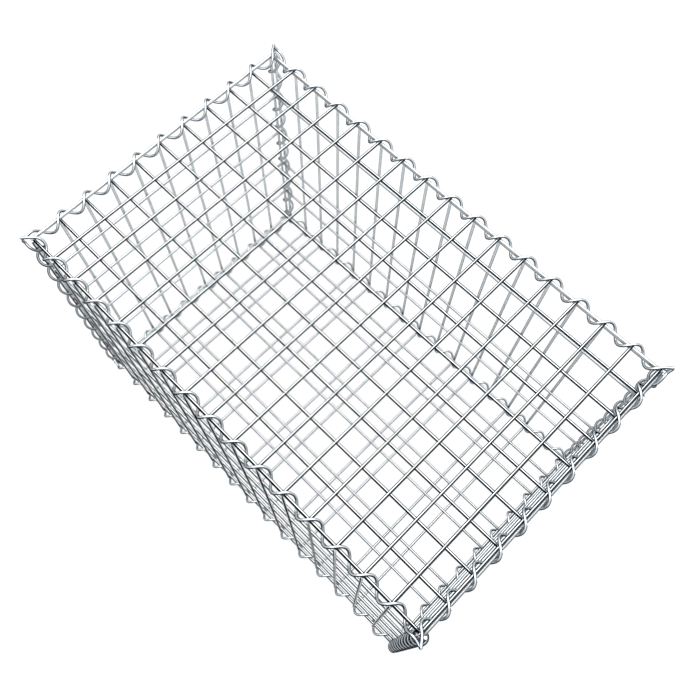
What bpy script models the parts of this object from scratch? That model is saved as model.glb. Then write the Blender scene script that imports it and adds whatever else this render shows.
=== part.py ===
# Gabion basket of welded wire mesh, laced along its twelve edges with wire spirals.
# Metres, +Z up. The origin is under the middle of the basket, on the ground it stands on.
# Long sides run along X and the front faces -Y.

import math

import bmesh
import bpy
from mathutils import Matrix, Vector

# Driving dimensions
CELL = 0.050              # mesh pitch of the lid and the base, and of the upright wires
LONG_CELLS = 16           # cells along X
SHORT_CELLS = 10          # cells along Y
ROW_PITCH = 0.100         # pitch of the horizontal wires in the four sides
SIDE_ROWS = 5             # cells up a side
WIRE = 0.004              # diameter of the mesh wire
WELD_SINK = 0.0004        # how far two crossing wires are pressed into each other
LID_OVERHANG = 0.002      # wire left past the outermost weld, on lid and base
SIDE_OVERHANG = 0.0003    # the same on the four sides, which are cut nearly flush
SEAT_GAP = 0.0003         # clearance where one piece rests on another

SPIRAL_WIRE = 0.004       # diameter of the lacing wire
SPIRAL_PLAY = 0.001       # room inside a coil beyond what the laced wires need
SPIRAL_OUTSET = 0.001     # how far a coil's axis lies outside the lid's outermost wire
TURNS_PER_ROW = 2         # turns of an upright coil to one cell of a side

# Faceting
WIRE_SIDES = 5            # a corner towards the crossing wires, a flat face outwards
COIL_STEPS = 6            # straight lengths in one turn of a coil
COIL_SIDES = 3            # a flat face towards the coil's axis
COIL_CORNER = 1.3         # corner of a coil's section, in radii of its wire
LEAD_SHORT = 3            # corners of a coil past the corner of the basket, at the ends
LEAD_LONG = -1            # the long coils stop short, clear of the ones that pass the corner
LEAD_UPRIGHT = 0          # the upright coils reach from the bottom row of a side to the top
HALF_STEP = 0.5           # the corners of a coil stand this many steps before and after its start

MERGE = 0.0001            # corners of a coil closer than this become one

GALVANISED = (0.62, 0.65, 0.68, 1.0)
SPIRAL_GREY = (0.66, 0.69, 0.73, 1.0)
ROUGHNESS = 0.35


# A polygon with the area of the round wire has its corners this much further out
def corner_factor(sides):
    turn = 2 * math.pi / sides
    return math.sqrt(turn / math.sin(turn))


# Reach of a mesh wire's five-sided section
wire_corner = WIRE / 2 * corner_factor(WIRE_SIDES)
wire_flat = wire_corner * math.cos(math.pi / WIRE_SIDES)
wire_side = wire_corner * math.sin(2 * math.pi / WIRE_SIDES)

# Reach of a coil's three-sided section
coil_corner = SPIRAL_WIRE / 2 * COIL_CORNER
coil_flat = coil_corner * math.cos(math.pi / COIL_SIDES)

length = LONG_CELLS * CELL
width = SHORT_CELLS * CELL
side_height = SIDE_ROWS * ROW_PITCH
upright_pitch = ROW_PITCH / TURNS_PER_ROW
layer = WIRE - WELD_SINK                     # from one layer of wires to the other
seat = wire_flat + wire_side + SEAT_GAP      # a lid or base wire on a side's edge wire
lid_tip = wire_side + LID_OVERHANG
side_tip = wire_side + SIDE_OVERHANG
end_outset = side_tip + SEAT_GAP + wire_flat  # the end sides pass outside the long ones
upright_outset = end_outset + layer

# The coil that just holds both an end side's top wire and the lid wires that it rests on
top_rest = layer + wire_flat + SEAT_GAP + coil_flat
drop = seat + top_rest
reach = end_outset - SPIRAL_OUTSET
margin = coil_flat + SEAT_GAP + wire_side
tight_flat = (reach**2 + drop**2 - margin**2) / (2 * (drop - margin))
coil_chord = tight_flat + SPIRAL_PLAY        # from the axis to the middle of a straight length
coil_radius = coil_chord / math.cos(math.pi / COIL_STEPS)

# Heights
axis_above_wire = top_rest - coil_chord      # coil axis above the lid's lower wires
coil_foot = (coil_radius + coil_corner) * math.cos(math.pi / COIL_STEPS)
base_height = coil_foot + axis_above_wire    # the coils round the base stand on the ground
side_bottom = base_height + seat
side_top = side_bottom + side_height
lid_height = side_top + seat


def clear_scene():
    for item in list(bpy.data.objects):
        bpy.data.objects.remove(item, do_unlink=True)


def make_material(name, colour):
    material = bpy.data.materials.new(name)
    material.use_nodes = True
    shader = material.node_tree.nodes["Principled BSDF"]
    shader.inputs["Base Color"].default_value = colour
    shader.inputs["Metallic"].default_value = 1.0
    shader.inputs["Roughness"].default_value = ROUGHNESS
    return material


# One straight wire from start to end, with one corner of its section towards ridge
def add_wire(mesh, start, end, ridge):
    run = (end - start).normalized()
    across = ridge.cross(run)
    frame = Matrix((across, ridge, run)).transposed().to_4x4()
    frame.translation = (start + end) / 2
    bmesh.ops.create_cone(
        mesh,
        cap_ends=True,
        segments=WIRE_SIDES,
        radius1=wire_corner,
        radius2=wire_corner,
        depth=(end - start).length,
        matrix=frame,
    )


def mesh_object(name, mesh):
    data = bpy.data.meshes.new(name)
    mesh.to_mesh(data)
    mesh.free()
    item = bpy.data.objects.new(name, data)
    bpy.context.scene.collection.objects.link(item)
    return item


# A flat mesh panel: rows run along X at the heights given, and the cross wires
# run along Y on its outer face, +Z, welded to every row
def panel_mesh(name, columns, rows, tip):
    out = Vector((0, 0, 1))
    row_wires = bmesh.new()
    for y in rows:
        start = Vector((columns[0] - tip, y, 0))
        end = Vector((columns[-1] + tip, y, 0))
        add_wire(row_wires, start, end, out)
    cross_wires = bmesh.new()
    for x in columns:
        start = Vector((x, rows[0] - tip, layer))
        end = Vector((x, rows[-1] + tip, layer))
        add_wire(cross_wires, start, end, -out)
    panel = mesh_object(name, row_wires)
    welded = mesh_object(name + ".cross", cross_wires)
    union = panel.modifiers.new("welds", "BOOLEAN")
    union.operation = "UNION"
    union.solver = "EXACT"
    union.object = welded
    view = bpy.context.evaluated_depsgraph_get()
    data = bpy.data.meshes.new_from_object(panel.evaluated_get(view))
    data.name = name
    bpy.data.objects.remove(panel, do_unlink=True)
    bpy.data.objects.remove(welded, do_unlink=True)
    return data


# Wires evenly spaced about the middle
def centred(count, pitch):
    return [(i - count / 2) * pitch for i in range(count + 1)]


# A coil about +Z that passes +X as it crosses height 0 and every pitch after it.
# The section is turned about the axis by a Screw, so it stands longer along the axis
# than across by the slope of the wire.
def coil_mesh(name, turns, pitch, lead, hand):
    steps = round(turns * COIL_STEPS + 2 * lead - 1)
    rise = pitch / COIL_STEPS
    slope = math.atan(pitch / (2 * math.pi * coil_radius))
    first = HALF_STEP - lead
    half = coil_corner * math.sin(2 * math.pi / COIL_SIDES) / math.cos(slope)
    section = bmesh.new()
    corners = [
        (coil_radius + coil_corner, 0),
        (coil_radius - coil_flat, half),
        (coil_radius - coil_flat, -half),
    ]
    points = [section.verts.new((x, 0, z + first * rise)) for x, z in corners]
    for i in range(COIL_SIDES):
        section.edges.new((points[i], points[(i + 1) % COIL_SIDES]))
    turned = Matrix.Rotation(hand * first * 2 * math.pi / COIL_STEPS, 4, "Z")
    bmesh.ops.transform(section, matrix=turned, verts=section.verts)
    coil = mesh_object(name, section)
    screw = coil.modifiers.new("turns", "SCREW")
    screw.axis = "Z"
    screw.angle = hand * steps * 2 * math.pi / COIL_STEPS
    screw.screw_offset = steps * rise
    screw.steps = steps
    screw.render_steps = steps
    screw.merge_threshold = MERGE
    view = bpy.context.evaluated_depsgraph_get()
    data = bpy.data.meshes.new_from_object(coil.evaluated_get(view))
    data.name = name
    bpy.data.objects.remove(coil, do_unlink=True)
    closed = bmesh.new()
    closed.from_mesh(data)
    ends = [edge for edge in closed.edges if edge.is_boundary]
    bmesh.ops.holes_fill(closed, edges=ends, sides=COIL_SIDES)
    bmesh.ops.recalc_face_normals(closed, faces=closed.faces)
    closed.to_mesh(data)
    closed.free()
    return data


def place(collection, name, data, matrix, colour):
    item = bpy.data.objects.new(name, data)
    item.matrix_world = matrix
    collection.objects.link(item)
    if not data.materials:
        data.materials.append(None)
    item.material_slots[0].link = "OBJECT"
    item.material_slots[0].material = make_material(name, colour)
    return item


# A frame with its X axis along first and its Y axis along second
def frame_at(origin, first, second):
    first = Vector(first)
    second = Vector(second)
    matrix = Matrix((first, second, first.cross(second))).transposed().to_4x4()
    matrix.translation = Vector(origin)
    return matrix


def build_panels(collection):
    along = centred(LONG_CELLS, CELL)
    across = centred(SHORT_CELLS, CELL)
    rows = [i * ROW_PITCH for i in range(SIDE_ROWS + 1)]
    flat = panel_mesh("flat_panel", along, across, lid_tip)
    long_side = panel_mesh("long_side", along, rows, side_tip)
    end_side = panel_mesh("end_side", across, rows, side_tip)
    end_plane = length / 2 + end_outset
    panels = {
        "lid_panel": (flat, (0, 0, lid_height), (1, 0, 0), (0, 1, 0)),
        "base_panel": (flat, (0, 0, base_height), (1, 0, 0), (0, -1, 0)),
        "front_panel": (long_side, (0, -width / 2, side_bottom), (1, 0, 0), (0, 0, 1)),
        "back_panel": (long_side, (0, width / 2, side_bottom), (-1, 0, 0), (0, 0, 1)),
        "left_panel": (end_side, (-end_plane, 0, side_bottom), (0, -1, 0), (0, 0, 1)),
        "right_panel": (end_side, (end_plane, 0, side_bottom), (0, 1, 0), (0, 0, 1)),
    }
    for name, (data, origin, first, second) in panels.items():
        place(collection, name, data, frame_at(origin, first, second), GALVANISED)


# Eight level coils: four round the lid's edges and the same four, turned over, round the base's
def build_level_spirals(collection):
    long_coil = coil_mesh("long_coil", LONG_CELLS, CELL, LEAD_LONG, -1)
    short_coil = coil_mesh("short_coil", SHORT_CELLS, CELL, LEAD_SHORT, -1)
    outset_x = length / 2 + SPIRAL_OUTSET
    outset_y = width / 2 + SPIRAL_OUTSET
    levels = {
        "lid": (lid_height + axis_above_wire, 1),
        "base": (base_height - axis_above_wire, -1),
    }
    for level, (height, up) in levels.items():
        edges = {
            "front": (long_coil, (-length / 2, -outset_y, height), (0, -up, 0)),
            "back": (long_coil, (-length / 2, outset_y, height), (0, -up, 0)),
            "left": (short_coil, (-outset_x, -width / 2, height), (up, 0, 0)),
            "right": (short_coil, (outset_x, -width / 2, height), (up, 0, 0)),
        }
        for edge, (data, origin, second) in edges.items():
            matrix = frame_at(origin, (0, 0, up), second)
            name = level + "_spiral_" + edge
            place(collection, name, data, matrix, SPIRAL_GREY)


# Four upright coils, each round the two edge wires that meet at a corner.
# The axis lies on the line between those two wires, and the coil rests on the end side's.
def build_corner_spirals(collection):
    turns = SIDE_ROWS * TURNS_PER_ROW
    left_hand = coil_mesh("corner_coil", turns, upright_pitch, LEAD_UPRIGHT, -1)
    right_hand = coil_mesh("corner_coil_right", turns, upright_pitch, LEAD_UPRIGHT, 1)
    long_wire = Vector((0, layer))
    end_wire = Vector((upright_outset, 0))
    held = coil_chord - margin
    axis = end_wire + (long_wire - end_wire).normalized() * held
    corners = {
        "front_left": (-1, -1, left_hand),
        "front_right": (1, -1, left_hand),
        "back_left": (-1, 1, right_hand),
        "back_right": (1, 1, left_hand),
    }
    for corner, (x, y, data) in corners.items():
        origin = (x * (length / 2 + axis.x), y * (width / 2 + axis.y), side_bottom)
        outward = Vector((x, y, 0)).normalized()
        second = Vector((0, 0, 1)).cross(outward)
        matrix = frame_at(origin, outward, second)
        place(collection, "corner_spiral_" + corner, data, matrix, SPIRAL_GREY)


def main():
    clear_scene()
    collection = bpy.data.collections.new("gabion_basket")
    bpy.context.scene.collection.children.link(collection)
    build_panels(collection)
    build_level_spirals(collection)
    build_corner_spirals(collection)


main()
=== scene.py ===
# Gabion basket of galvanised wire. Every wire of the six mesh panels and every lacing
# spiral is drawn round over the faceted CAD frame, in metres, with Z up.
import math

import bpy
import numpy as np
from mathutils import Matrix, Vector


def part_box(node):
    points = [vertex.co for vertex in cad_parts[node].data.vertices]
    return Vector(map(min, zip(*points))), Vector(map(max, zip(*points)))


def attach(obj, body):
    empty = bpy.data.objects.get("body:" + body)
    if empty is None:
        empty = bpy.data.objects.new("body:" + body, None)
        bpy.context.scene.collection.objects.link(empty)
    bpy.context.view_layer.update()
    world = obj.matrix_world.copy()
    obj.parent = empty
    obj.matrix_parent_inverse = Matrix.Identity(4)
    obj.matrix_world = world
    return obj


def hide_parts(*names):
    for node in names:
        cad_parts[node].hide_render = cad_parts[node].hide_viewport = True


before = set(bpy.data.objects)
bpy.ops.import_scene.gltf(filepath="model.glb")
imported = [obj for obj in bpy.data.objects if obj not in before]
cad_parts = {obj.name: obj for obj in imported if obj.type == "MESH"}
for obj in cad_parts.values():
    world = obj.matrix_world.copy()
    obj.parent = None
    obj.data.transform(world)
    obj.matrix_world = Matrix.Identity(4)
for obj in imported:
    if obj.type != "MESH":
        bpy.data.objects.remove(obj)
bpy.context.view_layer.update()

rng = np.random.default_rng(11)    # a fixed seed, so every run draws the same

basket = dict(
    cell=0.050,            # mesh pitch of lid and base
    longCells=16,
    shortCells=10,
    rowPitch=0.100,        # level wires of the four sides
    sideRows=5,
    layer=0.0036,          # from one layer of wires to the other
    inset=0.00186,         # from a panel's face in the CAD to the middle of its wires
)


# The low and the high corner of a CAD node's box
def nodeBox(name):
    low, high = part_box(name)
    return np.array(low), np.array(high)


# A tube: point = centre(s) + radius(s) * (cos(a) * normal(s) + sin(a) * across(s)), for many
# wires at once. centre is (wires, stations, 3), a runs once round the section.
def tubeGrid(centre, normal, radius, sides):
    along = np.gradient(centre, axis=1)
    along /= np.linalg.norm(along, axis=2, keepdims=True)
    normal = normal - along * np.sum(normal * along, axis=2, keepdims=True)
    normal /= np.linalg.norm(normal, axis=2, keepdims=True)
    across = np.cross(along, normal)
    angle = np.arange(sides) * 2 * np.pi / sides
    ring = (np.cos(angle)[:, None] * normal[:, :, None, :]
            + np.sin(angle)[:, None] * across[:, :, None, :])
    points = centre[:, :, None, :] + radius[:, :, None, None] * ring
    return points, ring


# Faces of such a grid: quads between neighbouring rings, and one flat face over each end
def tubeFaces(wires, stations, sides, first):
    index = first + np.arange(wires * stations * sides).reshape(wires, stations, sides)
    nextRound = np.roll(index, -1, axis=2)
    quads = np.stack([index[:, :-1], nextRound[:, :-1], nextRound[:, 1:], index[:, 1:]], axis=-1)
    caps = index[:, 0, ::-1].tolist() + index[:, -1, :].tolist()
    return quads.reshape(-1, 4).tolist() + caps


# Stations along a wire from 0 to 1, with two close ones at each end for the cut edge
def cutStations(count, length, bevel):
    inner = np.linspace(0, 1, count)
    edge = bevel / length
    return np.concatenate([[0.0], [edge], inner[1:-1], [1 - edge], [1.0]])


# Radius at each station: the wire's own, and a share of it at the two cut faces
def cutRadius(count, radius, share):
    profile = np.full(count, radius)
    profile[0] = profile[-1] = radius * share
    return profile


def makePiece(name, points, faces, material, values):
    mesh = bpy.data.meshes.new(name)
    mesh.from_pydata(points.tolist(), [], faces)
    mesh.polygons.foreach_set("use_smooth", np.array([len(f) == 4 for f in faces]))
    for key, value in values.items():
        layer = mesh.attributes.new(key, "FLOAT", "POINT")
        layer.data.foreach_set("value", value.astype(np.float32))
    mesh.validate()
    mesh.update()
    piece = bpy.data.objects.new(name, mesh)
    bpy.context.scene.collection.objects.link(piece)
    mesh.materials.append(material)
    return piece


# Painted shade on the wires: dark flanks and a dark stripe on each upright stand in for the dark
# reflections of metal wire, and crowns facing a point over the basket stay unshaded
paintedShadeLook = dict(
    unshaded=(0.0, 0.0, 1.92),     # point over the basket's middle that the unshaded crowns face; flanks turned from it get painted shade
    front=1.0,                  # share of the painted shade on flanks that face each side
    right=0.95,
    back=0.98,
    left=0.98,
    underside=(-0.35, 0.18),    # the normal's z, no painted shade below the first and full above the second
    upright=0.12,               # painted shade on an upright beside its stripe
    stripeWays=((0.07, -0.998, 0), (0.87, -0.49, 0)),    # where the painted dark stripe faces, right end and elsewhere
    stripeEdge=(0.86, 0.92),    # cosine from that way, none below the first and full above the second
    stripeTurn=(0.15, 0.25),    # X over which the right end begins
)


# 0 below low, 1 above high, and 3 t^2 - 2 t^3 between them, with t the share of the way
def smoothStep(value, low, high):
    t = np.clip((value - low) / (high - low), 0, 1)
    return t * t * (3 - 2 * t)


# Unit vector from each point on a wire's middle towards the point that the unshaded crowns face
def unshadedWay(centre):
    way = np.array(paintedShadeLook["unshaded"]) - centre
    return way / np.linalg.norm(way, axis=-1, keepdims=True)


# Painted shade round a wire, dark flanks in place of a metal wire's dark reflections: crown +
# (side * flank share - crown) * flank. Height is the normal along the way to the unshaded point,
# over the most that the ring reaches. Flank is the smooth step of height down from edge's second
# value to its first, times the smooth step of the normal's z, so the painted shade leaves the
# underside. Side is the four sides' shares, weighted by the squares of the normal's x and y.
def paintedShading(ring, centre, edge, crown, flankShare):
    height = np.sum(ring * unshadedWay(centre)[:, :, None, :], axis=3)
    height = height / np.max(height, axis=2, keepdims=True)
    flank = (1 - smoothStep(height, *edge)) * smoothStep(ring[..., 2], *paintedShadeLook["underside"])
    x, y = ring[..., 0], ring[..., 1]
    alongX = np.where(x > 0, paintedShadeLook["right"], paintedShadeLook["left"]) * x**2
    alongY = np.where(y > 0, paintedShadeLook["back"], paintedShadeLook["front"]) * y**2
    side = (alongX + alongY) / np.maximum(x**2 + y**2, 1e-9)
    return crown + (side * flankShare - crown) * flank


# An upright wire is pale with one painted dark stripe, a painted shade: the smooth step of the
# normal along the stripe's way, where the way at the right end takes over from the other by the smooth
# step of X
def uprightShadeStripe(ring, centre):
    edge = paintedShadeLook["stripeEdge"]
    atRight, elsewhere = [smoothStep(ring @ np.array(way), *edge) for way in paintedShadeLook["stripeWays"]]
    rightEnd = smoothStep(centre[..., 0], *paintedShadeLook["stripeTurn"])[:, :, None]
    return atRight * rightEnd + elsewhere * (1 - rightEnd)


panelLook = dict(
    sides=48,
    stations=28,           # rings along one wire
    wireRadius=0.0024,
    bevel=0.0003,          # cut edge at the ends
    cutShare=0.86,         # radius of a cut face over the wire's
    edge=(0.974, 0.995),   # cosine from the crown, painted shade below the first and none above the second
    bow=0.0002,            # how far a whole panel bulges or sinks
    bowWaves=(2.1, 5.3),   # radians of its two slow waves, along X and along Y
    secondWave=0.6,        # height of the second of them over the first
    phaseStep=1.3,         # from one panel's waves to the next panel's
    wander=0.0001,         # how far one wire strays from straight in the panel
    wanderHalfWaves=3.7,   # along one wire
    tipLevel=0.0042,       # wire past the last weld, lid and base
    tipSide=0.0025,        # the same on the four sides
)
# A weld bead takes a share of its panel's painted flank shade, and a tone of its own
weldLook = dict(wide=0.0023, deep=0.0010, rings=4, sides=8, paintedShade=0.55, tone=0.5)


# Panel surface: bow * sin(pi x') * sin(pi y') * (two slow waves), with x' and y' from 0 to 1
# over the panel, so its rim stays put
def panelBow(x, y, spanX, spanY, phase):
    across = np.sin(np.pi * np.clip(x / spanX + 0.5, 0, 1))
    across = across * np.sin(np.pi * np.clip(y / spanY + 0.5, 0, 1))
    alongX, alongY = panelLook["bowWaves"]
    second = panelLook["secondWave"] * np.sin(alongY * y / spanY + 2 * phase)
    waves = np.cos(alongX * x / spanX + phase) + second
    return panelLook["bow"] * across * waves


# The same for a plan's own x and y, measured from the middle of its wires
def bowAt(plan, x, y):
    columns, rows = plan["columns"], plan["rows"]
    return panelBow(x - (columns[0] + columns[-1]) / 2, y - (rows[0] + rows[-1]) / 2,
                    columns[-1] - columns[0], rows[-1] - rows[0], plan["phase"])


# Stray of a wire in its panel: wander * sin(pi t) * sin(half waves * pi t + its own phase), with
# t from 0 to 1 along the wire, so its ends stay put
def stray(along, span, phase, share):
    t = np.clip(along / span + 0.5, 0, 1)
    swing = np.sin(panelLook["wanderHalfWaves"] * np.pi * t + phase)
    return panelLook["wander"] * share * np.sin(np.pi * t) * swing


# A bead at each weld, a flat ellipsoid: point = centre + (wide cos b cos a, wide cos b sin a,
# deep sin b)
def weldBeads(centres):
    rings, sides = weldLook["rings"], weldLook["sides"]
    b = np.linspace(-np.pi / 2, np.pi / 2, rings + 1)[1:-1]
    a = np.arange(sides) * 2 * np.pi / sides
    unit = np.stack(np.broadcast_arrays(
        np.cos(b)[:, None] * np.cos(a), np.cos(b)[:, None] * np.sin(a), np.sin(b)[:, None]), axis=-1)
    poles = np.array([[0, 0, -1.0], [0, 0, 1.0]])
    unit = np.concatenate([unit.reshape(-1, 3), poles])
    scale = np.array([weldLook["wide"], weldLook["wide"], weldLook["deep"]])
    points = centres[:, None, :] + unit * scale
    count = len(unit)
    ring = np.arange((rings - 1) * sides).reshape(rings - 1, sides)
    turn = np.roll(ring, -1, axis=1)
    quads = np.stack([ring[:-1], turn[:-1], turn[1:], ring[1:]], axis=-1).reshape(-1, 4)
    low = np.stack([turn[0], ring[0], np.full(sides, count - 2)], axis=-1)
    high = np.stack([ring[-1], turn[-1], np.full(sides, count - 1)], axis=-1)
    offset = np.arange(len(centres))[:, None, None] * count
    faces = [(quads + offset).reshape(-1, 4)]
    faces += [(fan + offset).reshape(-1, 3) for fan in (low, high)]
    return points.reshape(-1, 3), faces


# All level or all cross wires of a panel: straight lines at the places given, each with its
# own stray, on the bowed surface and at their layer's height over it. It gives back the points
# and, at each of them, the painted shade and how open to glancing light the zinc is.
def panelWires(plan, rowWise):
    columns, rows = plan["columns"], plan["rows"]
    lines, ends = (rows, columns[[0, -1]]) if rowWise else (columns, rows[[0, -1]])
    span = ends[1] - ends[0]
    length = span + 2 * plan["tip"]
    t = cutStations(panelLook["stations"], length, panelLook["bevel"])
    along = ends[0] - plan["tip"] + t * length
    inner = np.ones(len(lines))
    inner[[0, -1]] = 0                                  # rim wires stay straight in the lacing
    drift = rng.uniform(0, 2 * np.pi, len(lines))
    side = lines[:, None] + stray(along[None, :] - ends.mean(), span, drift[:, None], inner[:, None])
    run = np.broadcast_to(along, side.shape)
    x, y = (run, side) if rowWise else (side, run)
    z = bowAt(plan, x, y) + (0 if rowWise else basket["layer"])
    world = plan["origin"] + np.stack([x, y, z], axis=-1) @ plan["turn"]
    profile = cutRadius(len(t), panelLook["wireRadius"], panelLook["cutShare"])
    radius = np.broadcast_to(profile, side.shape)
    points, ring = tubeGrid(world, unshadedWay(world), radius, panelLook["sides"])
    steep = plan["turn"][0 if rowWise else 1][2] > 0
    if steep:
        stripe = uprightShadeStripe(ring, world)
        paintedShade = np.clip(paintedShadeLook["upright"] + plan["upright"] * stripe, 0, 1)
        return points, paintedShade, plan["open"] * (1 - stripe)
    rim = np.arange(len(lines)) == (len(lines) - 1 if rowWise else 0)
    crown, flankShare = [
        np.where(rim, atRim, inside)[:, None, None] for atRim, inside in zip(plan["rim"], plan["paintedShade"])]
    paintedShade = paintedShading(ring, world, panelLook["edge"], crown, flankShare)
    return points, paintedShade, np.zeros(paintedShade.shape)


# One welded panel in its own plane: rows along X at z = 0, cross wires along Y a layer outside,
# then turned into the world by origin + x * first + y * second + z * outward
def meshPanel(name, material, plan):
    pointSets, paintedShade, tone, openness, faces, start = [], [], [], [], [], 0
    for rowWise in (True, False):
        points, share, openShare = panelWires(plan, rowWise)
        wires, stations, sides = share.shape
        faces += tubeFaces(wires, stations, sides, start)
        pointSets.append(points.reshape(-1, 3))
        paintedShade.append(share.ravel())
        openness.append(openShare.ravel())
        tone.append(np.repeat(rng.uniform(0, 1, wires), stations * sides))
        start += wires * stations * sides
    gridX, gridY = [a.ravel() for a in np.meshgrid(plan["columns"], plan["rows"], indexing="ij")]
    weldZ = bowAt(plan, gridX, gridY) + basket["layer"] / 2
    beads, beadFaces = weldBeads(np.stack([gridX, gridY, weldZ], axis=-1))
    pointSets.append(plan["origin"] + beads @ plan["turn"])
    for group in beadFaces:
        faces += (group + start).tolist()
    # weld beads get a share of the panel's painted flank shade
    paintedShade.append(np.full(len(beads), weldLook["paintedShade"] * plan["paintedShade"][1]))
    tone.append(np.full(len(beads), weldLook["tone"]))
    openness.append(np.zeros(len(beads)))
    values = dict(paintedShade=np.concatenate(paintedShade), tone=np.concatenate(tone), open=np.concatenate(openness))
    piece = makePiece(name, np.concatenate(pointSets), faces, material, values)
    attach(piece, "root")
    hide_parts(plan["node"])


coilLook = dict(
    sides=20,
    perTurn=36,            # rings in one turn
    radius=0.00952,        # of the middle of the wire about the axis
    wireRadius=0.0022,
    bevel=0.0003,
    cutShare=0.86,
    crown=dict(level=0.1, post=0.35),                    # painted shade on the crown
    edge=dict(level=(0.70, 0.93), post=(0.92, 0.98)),    # as the panels' edge
)

# Where the spirals' ends meet outside a corner of the lid or the base, and how they get there.
# At each corner one end comes over the top, one comes from the outside, and a post's end rises.
tipLook = dict(
    out=dict(lid=(0.0125, 0.0135), base=(0.008, 0.008)),     # past the outermost wires, in X and Y
    height=dict(over=0.0055, outer=0.0014, post=-0.0028),    # above the lid's level wires
    leave=dict(over=0.0, outer=0.25, post=0.20),    # turns short of the spiral's full length
    reach=dict(over=1.0, outer=1.9, post=1.6),      # pull of the two end directions, in strand lengths
    onward=3,              # an outer end's way at the tip, along its edge over outwards
    upward=2.4,            # a post's way at the tip, up over outwards
    rings=16,
)


# Point and direction of a helix, t in turns: point = start + pitch t axis + radius * spoke, where
# spoke = cos(2 pi t) out + hand sin(2 pi t) (axis x out)
def helix(plan, turns):
    t = np.asarray(turns)[..., None]
    third = plan["hand"] * np.cross(plan["axis"], plan["out"])
    angle = 2 * np.pi * t
    spoke = np.cos(angle) * plan["out"] + np.sin(angle) * third
    swing = np.cos(angle) * third - np.sin(angle) * plan["out"]
    point = plan["start"] + plan["pitch"] * t * plan["axis"] + coilLook["radius"] * spoke
    heading = plan["pitch"] * plan["axis"] + 2 * np.pi * coilLook["radius"] * swing
    return point, heading / np.linalg.norm(heading, axis=-1, keepdims=True), spoke


# Strand from a, leaving along u, to b, arriving along v: point = (1 + 2s)(1 - s)^2 a +
# s (1 - s)^2 pull u + s^2 (3 - 2s) b - s^2 (1 - s) pull v, with s from 0 to 1
def strand(a, u, b, v, reach):
    s = np.linspace(0, 1, tipLook["rings"] + 1)[1:, None]
    pull = reach * np.linalg.norm(b - a)
    return ((1 + 2 * s) * (1 - s)**2 * a + s * (1 - s)**2 * pull * u
            + s**2 * (3 - 2 * s) * b - s**2 * (1 - s) * pull * v)


# A lacing spiral: a helix, carried on at either end by a strand to a tip where the plan has one
def spiral(name, material, plan):
    fromTurn, toTurn = plan["turns"]
    count = int(round((toTurn - fromTurn) * coilLook["perTurn"])) + 1
    centre, heading, spoke = helix(plan, np.linspace(fromTurn, toTurn, count))
    tips = [(0, -1, plan["tips"][0]), (-1, 1, plan["tips"][1])]
    for end, way, tip in tips:
        if tip:
            added = strand(centre[end], way * heading[end], *tip)
            held = np.broadcast_to(spoke[end], added.shape)
            centre = np.concatenate([centre, added] if way > 0 else [added[::-1], centre])
            spoke = np.concatenate([spoke, held] if way > 0 else [held, spoke])
    cut = [centre[end] + coilLook["bevel"] * (centre[end] - centre[end - way])
           / np.linalg.norm(centre[end] - centre[end - way]) for end, way, tip in tips]
    centre = np.concatenate([cut[:1], centre, cut[1:]])[None]
    spoke = np.concatenate([spoke[:1], spoke, spoke[-1:]])[None]
    radius = cutRadius(centre.shape[1], coilLook["wireRadius"], coilLook["cutShare"])[None]
    points, ring = tubeGrid(centre, spoke, radius, coilLook["sides"])
    faces = tubeFaces(1, centre.shape[1], coilLook["sides"], 0)
    edge, crown = coilLook["edge"][plan["kind"]], coilLook["crown"][plan["kind"]]
    paintedShade = paintedShading(ring, centre, edge, crown, plan["paintedShade"]).ravel()
    tone = np.full(points.size // 3, rng.uniform(0, 1))
    piece = makePiece(name, points.reshape(-1, 3), faces, material, dict(paintedShade=paintedShade, tone=tone))
    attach(piece, "root")
    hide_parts(plan["node"])


finish = dict(
    crystals=420,              # to the metre
    clouds=(34, 3),            # scale and detail
    grain=(1900, 2),
    crystalGrey=0.45,          # how far the crystals, the clouds and a wire's own tone grey the zinc
    cloudGrey=0.35,
    toneGrey=0.2,
    cloudEdge=(0.35, 0.7),     # the clouds' values from none to all, for the grey
    roughEdge=(0.3, 0.7),      # and for the roughness
    rougher=0.12,              # in the clouds
    bump=0.12,
    bumpDepth=0.0002,
    glancing=(0.03, 0.03, 0.035, 1),    # tint of the reflection at a glancing angle
    glancingOpen=(1, 1, 1, 1),          # the same where the attribute open is 1
)
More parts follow.
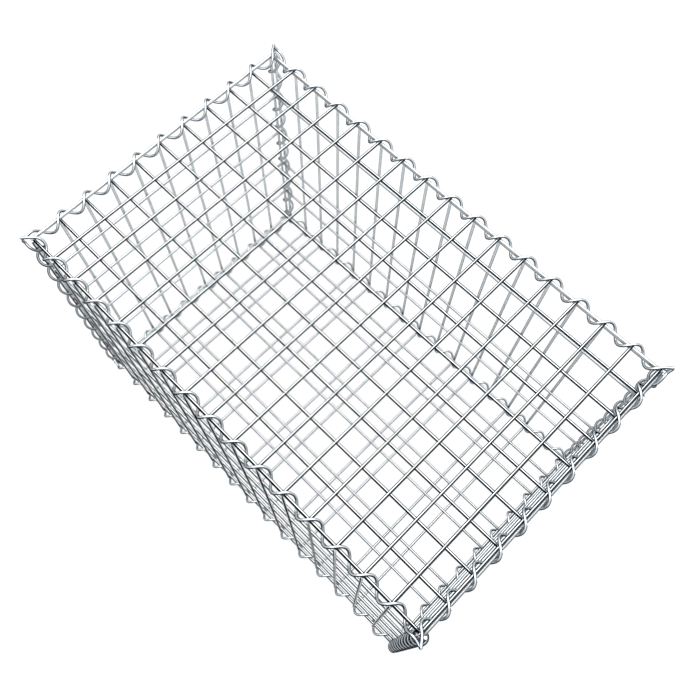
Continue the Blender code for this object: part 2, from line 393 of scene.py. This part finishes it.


# Zinc on steel: crystals a few millimetres wide and softer clouds turn it grey, it is painted dark
# where the shade attribute says, a painted shade on the wires' flanks, and fine grain is in the bump
def galvanised(name, bright, grey, dark, roughness):
    material = bpy.data.materials.new(name)
    material.use_nodes = True
    tree = material.node_tree
    shader = tree.nodes["Principled BSDF"]
    shader.inputs["Metallic"].default_value = 1.0

    def node(kind, **settings):
        made = tree.nodes.new(kind)
        for key, value in settings.items():
            setattr(made, key, value)
        return made

    def link(source, target):
        tree.links.new(source, target)

    def noise(scale, detail):
        made = node("ShaderNodeTexNoise")
        made.inputs["Scale"].default_value = scale
        made.inputs["Detail"].default_value = detail
        link(place.outputs["Object"], made.inputs["Vector"])
        return made.outputs["Fac"]

    def attribute(key):
        return node("ShaderNodeAttribute", attribute_name=key).outputs["Fac"]

    def ramp(source, low, high, toLow, toHigh):
        made = node("ShaderNodeMapRange")
        limits = {"From Min": low, "From Max": high, "To Min": toLow, "To Max": toHigh}
        for key, value in limits.items():
            made.inputs[key].default_value = value
        link(source, made.inputs["Value"])
        return made.outputs["Result"]

    def add(first, second):
        made = node("ShaderNodeMath", operation="ADD")
        link(first, made.inputs[0])
        link(second, made.inputs[1])
        return made.outputs[0]

    def blend(factor, first, second):
        made = node("ShaderNodeMix", data_type="RGBA")
        for socket, value in ((made.inputs[6], first), (made.inputs[7], second)):
            if isinstance(value, tuple):
                socket.default_value = value
            else:
                link(value, socket)
        link(factor, made.inputs[0])
        return made.outputs[2]

    place = node("ShaderNodeTexCoord")
    crystals = node("ShaderNodeTexVoronoi")
    crystals.inputs["Scale"].default_value = finish["crystals"]
    link(place.outputs["Object"], crystals.inputs["Vector"])
    crystalTone = node("ShaderNodeSeparateColor")
    link(crystals.outputs["Color"], crystalTone.inputs["Color"])
    clouds = noise(*finish["clouds"])

    spangle = ramp(crystalTone.outputs["Red"], 0, 1, 0, finish["crystalGrey"])
    cloudy = ramp(clouds, *finish["cloudEdge"], 0, finish["cloudGrey"])
    wireTone = ramp(attribute("tone"), 0, 1, 0, finish["toneGrey"])
    unshaded = blend(add(add(spangle, cloudy), wireTone), bright, grey)
    # painted shade: the colour goes to dark by the shade attribute
    link(blend(attribute("paintedShade"), unshaded, dark), shader.inputs["Base Color"])
    tint = blend(attribute("open"), finish["glancing"], finish["glancingOpen"])
    link(tint, shader.inputs["Specular Tint"])
    rough = ramp(clouds, *finish["roughEdge"], roughness, roughness + finish["rougher"])
    link(rough, shader.inputs["Roughness"])
    bump = node("ShaderNodeBump")
    bump.inputs["Strength"].default_value = finish["bump"]
    bump.inputs["Distance"].default_value = finish["bumpDepth"]
    link(noise(*finish["grain"]), bump.inputs["Height"])
    link(bump.outputs["Normal"], shader.inputs["Normal"])
    return material


# dark is the colour of the painted shade on the wires' flanks
meshZinc = galvanised("meshZinc", bright=(0.89, 0.93, 0.95, 1), grey=(0.69, 0.74, 0.77, 1),
                      dark=(0.008, 0.012, 0.017, 1), roughness=0.2)
spiralZinc = galvanised("spiralZinc", bright=(0.87, 0.93, 0.96, 1), grey=(0.63, 0.70, 0.76, 1),
                        dark=(0.014, 0.020, 0.032, 1), roughness=0.2)

print("panels")
lidLow = nodeBox("lid_panel")[0]
baseHigh = nodeBox("base_panel")[1]
frontLow, frontHigh = nodeBox("front_panel")
leftHigh = nodeBox("left_panel")[1]

along = (np.arange(basket["longCells"] + 1) - basket["longCells"] / 2) * basket["cell"]
across = (np.arange(basket["shortCells"] + 1) - basket["shortCells"] / 2) * basket["cell"]
sideRows = np.arange(basket["sideRows"] + 1) * basket["rowPitch"]
sideFoot = (frontLow[2] + frontHigh[2] - sideRows[-1]) / 2

lidPlane = lidLow[2] + basket["inset"]
basePlane = baseHigh[2] - basket["inset"]
longPlane = -frontHigh[1] + basket["inset"]
endPlane = -leftHigh[0] + basket["inset"]

# Each panel's first pair is the painted shade on crown and flank of its level wires, rim the same
# for the last wire of the rows and the first of the columns, upright the strength of the uprights'
# painted dark stripe, and open how bright the rest of an upright stays at a glancing angle
flat = dict(columns=along, rows=across, tip=panelLook["tipLevel"], first=(1, 0, 0))
longSide = dict(columns=along, rows=sideRows, tip=panelLook["tipSide"], second=(0, 0, 1), open=0.0)
endSide = dict(longSide, columns=across)
panels = dict(
    lidMesh=dict(flat, node="lid_panel", origin=(0, 0, lidPlane), second=(0, 1, 0),
                 paintedShade=(0.03, 1.0), rim=(0.05, 0.4)),
    baseMesh=dict(flat, node="base_panel", origin=(0, 0, basePlane), second=(0, -1, 0),
                  paintedShade=(0.05, 0.82), rim=(0.05, 0.85)),
    frontMesh=dict(longSide, node="front_panel", origin=(0, -longPlane, sideFoot), first=(1, 0, 0),
                   paintedShade=(0.10, 0.88), rim=(0.1, 1.0), upright=0.85, open=0.6),
    backMesh=dict(longSide, node="back_panel", origin=(0, longPlane, sideFoot), first=(-1, 0, 0),
                  paintedShade=(0.4, 0.6), rim=(0.1, 0.6), upright=0.06),
    leftMesh=dict(endSide, node="left_panel", origin=(-endPlane, 0, sideFoot), first=(0, -1, 0),
                  paintedShade=(0.05, 0.65), rim=(0.1, 0.6), upright=0.06),
    rightMesh=dict(endSide, node="right_panel", origin=(endPlane, 0, sideFoot), first=(0, 1, 0),
                   paintedShade=(0.02, 0.74), rim=(0.02, 0.75), upright=0.32),
)
for k, (name, plan) in enumerate(panels.items()):
    first, second = np.array(plan["first"], float), np.array(plan["second"], float)
    plan["origin"] = np.array(plan["origin"])
    plan["turn"] = np.stack([first, second, np.cross(first, second)])
    plan["phase"] = panelLook["phaseStep"] * k
    meshPanel(name, meshZinc, plan)


# Tip of a spiral at the corner towards (x, y) of the lid or the base, turned over for the base
def tipAt(kind, x, y, level, heading):
    outX, outY = tipLook["out"][level]
    rise = tipLook["height"][kind]
    height = lidPlane + rise if level == "lid" else basePlane - rise
    point = np.array([x * (along[-1] + outX), y * (across[-1] + outY), height])
    return point, heading / np.linalg.norm(heading), tipLook["reach"][kind]


print("spirals")
edges = dict(
    front=dict(axis=(1, 0, 0), side=(0, -1, 0), turns=basket["longCells"], start=along[0]),
    back=dict(axis=(1, 0, 0), side=(0, 1, 0), turns=basket["longCells"], start=along[0]),
    left=dict(axis=(0, 1, 0), side=(-1, 0, 0), turns=basket["shortCells"], start=across[0]),
    right=dict(axis=(0, 1, 0), side=(1, 0, 0), turns=basket["shortCells"], start=across[0]),
)
# Each spiral's share of the painted flank shade, by level and edge
edgeShadeShare = dict(lid=dict(front=1.0, back=0.97, left=0.97, right=1.0),
                base=dict(front=1.0, back=0.85, left=0.85, right=0.85))
for level, lift in (("lid", 1), ("base", -1)):
    for edge, plan in edges.items():
        node = level + "_spiral_" + edge
        low, high = nodeBox(node)
        axis, side = np.array(plan["axis"], float), np.array(plan["side"], float)
        out = np.array([0, 0, lift], float)
        outerFirst = -np.cross(axis, out) @ side > 0    # the first quarter turn lies outside the basket
        kinds = ("outer", "over") if outerFirst else ("over", "outer")
        tips = []
        for kind, way in zip(kinds, (-1, 1)):
            corner = way * axis + side
            heading = corner if kind == "over" else corner + tipLook["onward"] * way * axis
            tips.append(tipAt(kind, corner[0], corner[1], level, heading))
        turns = (tipLook["leave"][kinds[0]], plan["turns"] - tipLook["leave"][kinds[1]])
        start = (low + high) / 2 * (1 - axis) + plan["start"] * axis
        spiral(level + "Spiral" + edge.capitalize(), spiralZinc, dict(
            node=node, kind="level", axis=axis, out=out, hand=-1, pitch=basket["cell"],
            start=start, turns=turns, tips=tips, paintedShade=edgeShadeShare[level][edge]))

# Each post's last value is its share of the painted flank shade
posts = dict(
    frontLeft=dict(node="corner_spiral_front_left", x=-1, y=-1, hand=-1, paintedShade=0.95),
    frontRight=dict(node="corner_spiral_front_right", x=1, y=-1, hand=-1, paintedShade=1.0),
    backLeft=dict(node="corner_spiral_back_left", x=-1, y=1, hand=1, paintedShade=0.6),
    backRight=dict(node="corner_spiral_back_right", x=1, y=1, hand=-1, paintedShade=0.8),
)
postTurns = basket["sideRows"] * basket["rowPitch"] / basket["cell"]
for corner, plan in posts.items():
    low, high = nodeBox(plan["node"])
    middle = (low + high) / 2
    x, y = plan["x"], plan["y"]
    tip = tipAt("post", x, y, "lid", np.array([x, y, tipLook["upward"]]))
    spiral("cornerSpiral" + corner[0].upper() + corner[1:], spiralZinc, dict(
        plan, kind="post", axis=np.array([0, 0, 1.0]), out=np.array([x, y, 0]) / math.sqrt(2),
        pitch=basket["cell"], start=np.array([middle[0], middle[1], sideFoot]),
        turns=(0, postTurns - tipLook["leave"]["post"]), tips=(None, tip)))

stageLook = dict(
    floorSize=12.0,
    floorColour=(0.93, 0.93, 0.93, 1),
    floorRoughness=0.9,
    white=(1, 1, 1, 1),
    whiteShare=0.85,       # of the floor that shows as plain white, the rest takes the shadow
    skyStrength=0.75,
    lampStrength=140.0,
    lampSize=4.6,
    lampPlace=(-0.3, 0.2, 2.8),
    lampTarget=(0, 0, 0.3),
)


# 1 where the ray comes from the camera, a mirror or glass
def seenDirectly(tree):
    path = tree.nodes.new("ShaderNodeLightPath")
    first = tree.nodes.new("ShaderNodeMath")
    second = tree.nodes.new("ShaderNodeMath")
    first.operation = second.operation = "MAXIMUM"
    tree.links.new(path.outputs["Is Camera Ray"], first.inputs[0])
    tree.links.new(path.outputs["Is Glossy Ray"], first.inputs[1])
    tree.links.new(first.outputs[0], second.inputs[0])
    tree.links.new(path.outputs["Is Transmission Ray"], second.inputs[1])
    return second.outputs[0]


# Pale floor under the basket, a share of it plain white to those rays and the rest lit
def paleFloor():
    half = stageLook["floorSize"] / 2
    corners = [(-half, -half, 0), (half, -half, 0), (half, half, 0), (-half, half, 0)]
    mesh = bpy.data.meshes.new("floor")
    mesh.from_pydata(corners, [], [(0, 1, 2, 3)])
    floor = bpy.data.objects.new("floor", mesh)
    bpy.context.scene.collection.objects.link(floor)
    material = bpy.data.materials.new("paleFloor")
    material.use_nodes = True
    tree = material.node_tree
    shader = tree.nodes["Principled BSDF"]
    shader.inputs["Base Color"].default_value = stageLook["floorColour"]
    shader.inputs["Roughness"].default_value = stageLook["floorRoughness"]
    shader.inputs["Specular IOR Level"].default_value = 0.0
    white = tree.nodes.new("ShaderNodeEmission")
    white.inputs["Color"].default_value = stageLook["white"]
    white.inputs["Strength"].default_value = 1.0
    share = tree.nodes.new("ShaderNodeMath")
    share.operation = "MULTIPLY"
    share.inputs[1].default_value = stageLook["whiteShare"]
    tree.links.new(seenDirectly(tree), share.inputs[0])
    mix = tree.nodes.new("ShaderNodeMixShader")
    tree.links.new(share.outputs[0], mix.inputs[0])
    tree.links.new(shader.outputs[0], mix.inputs[1])
    tree.links.new(white.outputs[0], mix.inputs[2])
    tree.links.new(mix.outputs[0], tree.nodes["Material Output"].inputs["Surface"])
    mesh.materials.append(material)


# Even sky, plain white to those rays, and one wide lamp over the basket
def softLight():
    world = bpy.data.worlds.new("studio")
    bpy.context.scene.world = world
    world.use_nodes = True
    tree = world.node_tree
    soft = tree.nodes["Background"]
    soft.inputs["Color"].default_value = stageLook["white"]
    soft.inputs["Strength"].default_value = stageLook["skyStrength"]
    white = tree.nodes.new("ShaderNodeBackground")
    white.inputs["Color"].default_value = stageLook["white"]
    white.inputs["Strength"].default_value = 1.0
    mix = tree.nodes.new("ShaderNodeMixShader")
    tree.links.new(seenDirectly(tree), mix.inputs[0])
    tree.links.new(soft.outputs[0], mix.inputs[1])
    tree.links.new(white.outputs[0], mix.inputs[2])
    tree.links.new(mix.outputs[0], tree.nodes["World Output"].inputs["Surface"])
    data = bpy.data.lights.new("softbox", "AREA")
    data.shape = "SQUARE"
    data.size = stageLook["lampSize"]
    data.energy = stageLook["lampStrength"]
    lamp = bpy.data.objects.new("softbox", data)
    lamp.location = stageLook["lampPlace"]
    way = Vector(stageLook["lampTarget"]) - lamp.location
    lamp.rotation_euler = way.to_track_quat("-Z", "Y").to_euler()
    bpy.context.scene.collection.objects.link(lamp)


# Pinhole fitted to the straight wires of the lid in the photo
lens = dict(
    focal=786.0,           # pixels, as are the middle and the frame
    centreX=335.7,
    centreY=361.2,
    frame=696,
    sensor=36,             # millimetres
    clip=(0.05, 50),
    place=(0.35407, -0.35478),    # metres, X and Y
    aboveLid=1.04496,
    right=(0.70722, 0.70699, 0.0),
    backward=(0.25689, -0.25722, 0.93158),
)


def makeCamera():
    data = bpy.data.cameras.new("camera")
    data.sensor_width = lens["sensor"]
    data.lens = lens["focal"] / lens["frame"] * data.sensor_width
    middle = (lens["frame"] - 1) / 2
    data.shift_x = (middle - lens["centreX"]) / lens["frame"]
    data.shift_y = (lens["centreY"] - middle) / lens["frame"]
    data.clip_start, data.clip_end = lens["clip"]
    backward = Vector(lens["backward"]).normalized()
    right = Vector(lens["right"])
    right = (right - backward * right.dot(backward)).normalized()
    turn = Matrix((right, backward.cross(right), backward)).transposed()
    place = (*lens["place"], lidPlane + lens["aboveLid"])
    camera = bpy.data.objects.new("camera", data)
    camera.matrix_world = Matrix.Translation(place) @ turn.to_4x4()
    bpy.context.scene.collection.objects.link(camera)
    bpy.context.scene.camera = camera


print("stage")
paleFloor()
softLight()
makeCamera()
bpy.context.scene.view_settings.view_transform = "Standard"
